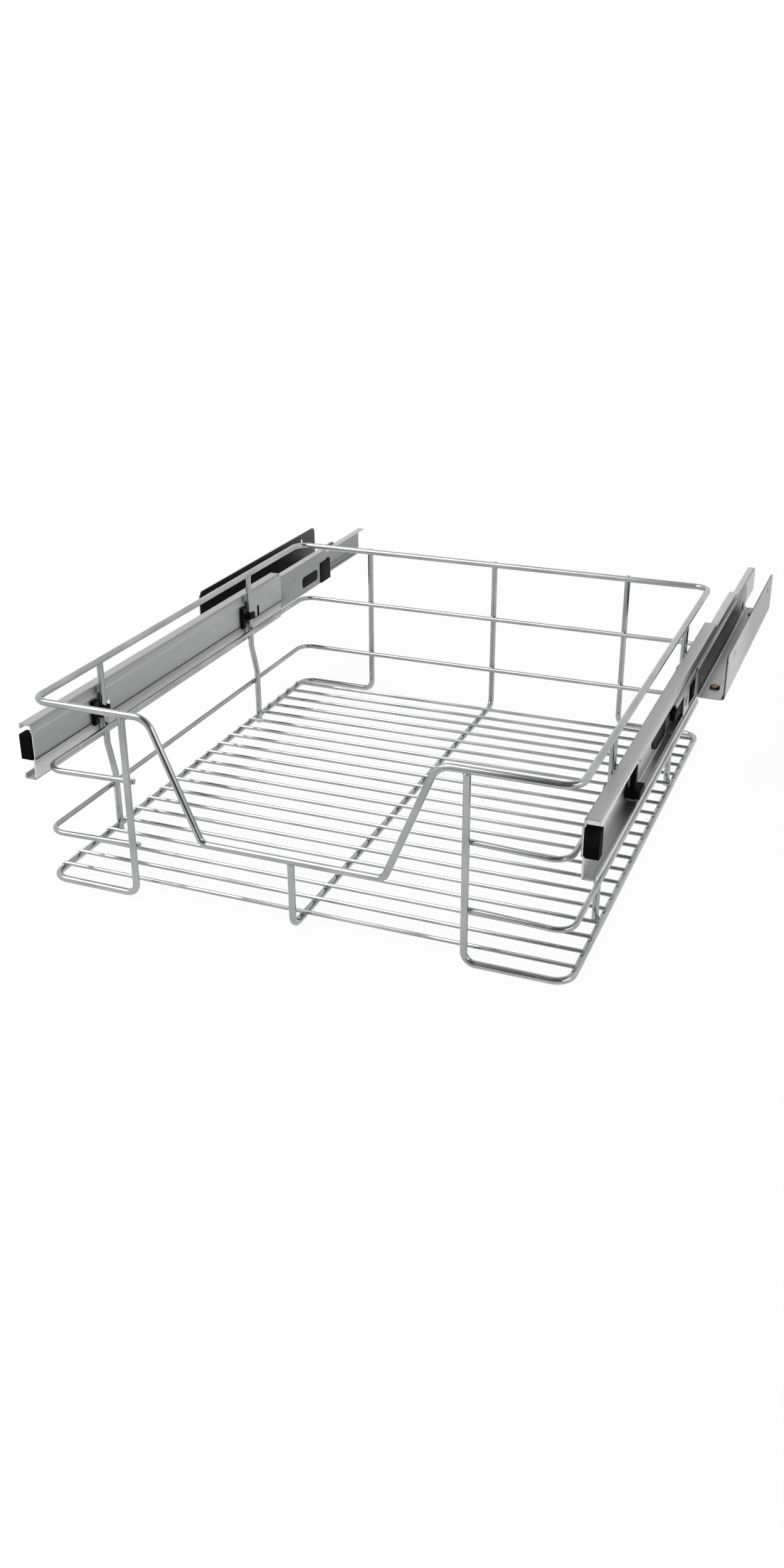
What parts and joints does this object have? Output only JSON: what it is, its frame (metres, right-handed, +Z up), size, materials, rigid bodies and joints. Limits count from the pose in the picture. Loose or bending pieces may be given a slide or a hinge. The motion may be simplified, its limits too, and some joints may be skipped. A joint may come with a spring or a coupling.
{
  "type": "pull-out drawer",
  "caption": "Pull-out wire basket drawer with a scooped front, on full-extension ball-bearing slides held by U-shaped brackets to the sides of a kitchen cabinet.",
  "frame": {"origin": "under the middle of the whole drawer as drawn, on the plane of the basket's lowest wires", "axes": "+X to the right seen from the front, +Y into the cabinet, +Z up"},
  "size_m": [0.462, 0.6026, 0.142],
  "materials": {
    "chrome_wire": "bright chrome plate",
    "zinc_steel": "zinc plate",
    "cage_steel": "plain",
    "ball_steel": "polished",
    "screw_steel": "zinc plate",
    "black_zinc": "black zinc plate",
    "bracket_steel": "zinc plate",
    "yellow_zinc": "yellow zinc plate",
    "black_plastic": "moulded",
    "black_rubber": "moulded"
  },
  "bodies": {
    "cabinet_side": {"left_wall_bracket": "bracket_steel", "left_cabinet_rail": "zinc_steel", "left_bracket_screws": "yellow_zinc", "left_rail_rivets": "screw_steel", "left_lever_pivot": "screw_steel", "right_wall_bracket": "bracket_steel", "right_cabinet_rail": "zinc_steel", "right_bracket_screws": "yellow_zinc", "right_rail_rivets": "screw_steel", "right_lever_pivot": "screw_steel"},
    "drawer": {"rim_wire": "chrome_wire", "left_frame_wire": "chrome_wire", "right_frame_wire": "chrome_wire", "centre_frame_wire": "chrome_wire", "left_side_uprights": "chrome_wire", "right_side_uprights": "chrome_wire", "lower_band_wire": "chrome_wire", "upper_band_wire": "chrome_wire", "floor_cross_wires": "chrome_wire", "left_basket_rail": "zinc_steel", "left_front_bumper": "black_rubber", "left_wire_clips": "black_plastic", "left_clip_screws": "black_zinc", "right_basket_rail": "zinc_steel", "right_front_bumper": "black_rubber", "right_wire_clips": "black_plastic", "right_clip_screws": "black_zinc"},
    "left_middle": {"left_middle_rail": "zinc_steel", "left_middle_front_stop": "black_plastic", "left_middle_rear_stop": "black_plastic"},
    "left_outer_cage": {"left_outer_ball_cage": "cage_steel", "left_outer_balls": "ball_steel"},
    "left_inner_cage": {"left_inner_ball_cage": "cage_steel", "left_inner_balls": "ball_steel"},
    "left_lever": {"left_release_lever": "black_plastic"},
    "right_middle": {"right_middle_rail": "zinc_steel", "right_middle_front_stop": "black_plastic", "right_middle_rear_stop": "black_plastic"},
    "right_outer_cage": {"right_outer_ball_cage": "cage_steel", "right_outer_balls": "ball_steel"},
    "right_inner_cage": {"right_inner_ball_cage": "cage_steel", "right_inner_balls": "ball_steel"},
    "right_lever": {"right_release_lever": "black_plastic"}
  },
  "joints": [
    {"name": "drawer_slide", "type": "slide", "parent": "cabinet_side", "child": "drawer", "axis": [0, -1, 0], "range_m": [-0.2, 0.19]},
    {"name": "left_middle_slide", "type": "slide", "parent": "cabinet_side", "child": "left_middle", "axis": [0, -1, 0], "range_m": [-0.1, 0.095]},
    {"name": "left_outer_cage_slide", "type": "slide", "parent": "cabinet_side", "child": "left_outer_cage", "axis": [0, -1, 0], "range_m": [-0.15, 0.1425]},
    {"name": "left_inner_cage_slide", "type": "slide", "parent": "cabinet_side", "child": "left_inner_cage", "axis": [0, -1, 0], "range_m": [-0.05, 0.0475]},
    {"name": "left_lever_tip", "type": "hinge", "parent": "cabinet_side", "child": "left_lever", "pos_m": [-0.204, -0.03675, 0.0995], "axis": [1, 0, 0], "range_deg": [-6, 6], "stiffness_Nm_per_rad": 0.02},
    {"name": "right_middle_slide", "type": "slide", "parent": "cabinet_side", "child": "right_middle", "axis": [0, -1, 0], "range_m": [-0.1, 0.095]},
    {"name": "right_outer_cage_slide", "type": "slide", "parent": "cabinet_side", "child": "right_outer_cage", "axis": [0, -1, 0], "range_m": [-0.15, 0.1425]},
    {"name": "right_inner_cage_slide", "type": "slide", "parent": "cabinet_side", "child": "right_inner_cage", "axis": [0, -1, 0], "range_m": [-0.05, 0.0475]},
    {"name": "right_lever_tip", "type": "hinge", "parent": "cabinet_side", "child": "right_lever", "pos_m": [0.204, -0.03675, 0.0995], "axis": [1, 0, 0], "range_deg": [-6, 6], "stiffness_Nm_per_rad": 0.02}
  ],
  "couplings": [
    {"joint": "left_middle_slide", "follows": "drawer_slide", "ratio": 0.5},
    {"joint": "left_outer_cage_slide", "follows": "drawer_slide", "ratio": 0.75},
    {"joint": "left_inner_cage_slide", "follows": "drawer_slide", "ratio": 0.25},
    {"joint": "right_middle_slide", "follows": "drawer_slide", "ratio": 0.5},
    {"joint": "right_outer_cage_slide", "follows": "drawer_slide", "ratio": 0.75},
    {"joint": "right_inner_cage_slide", "follows": "drawer_slide", "ratio": 0.25}
  ]
}
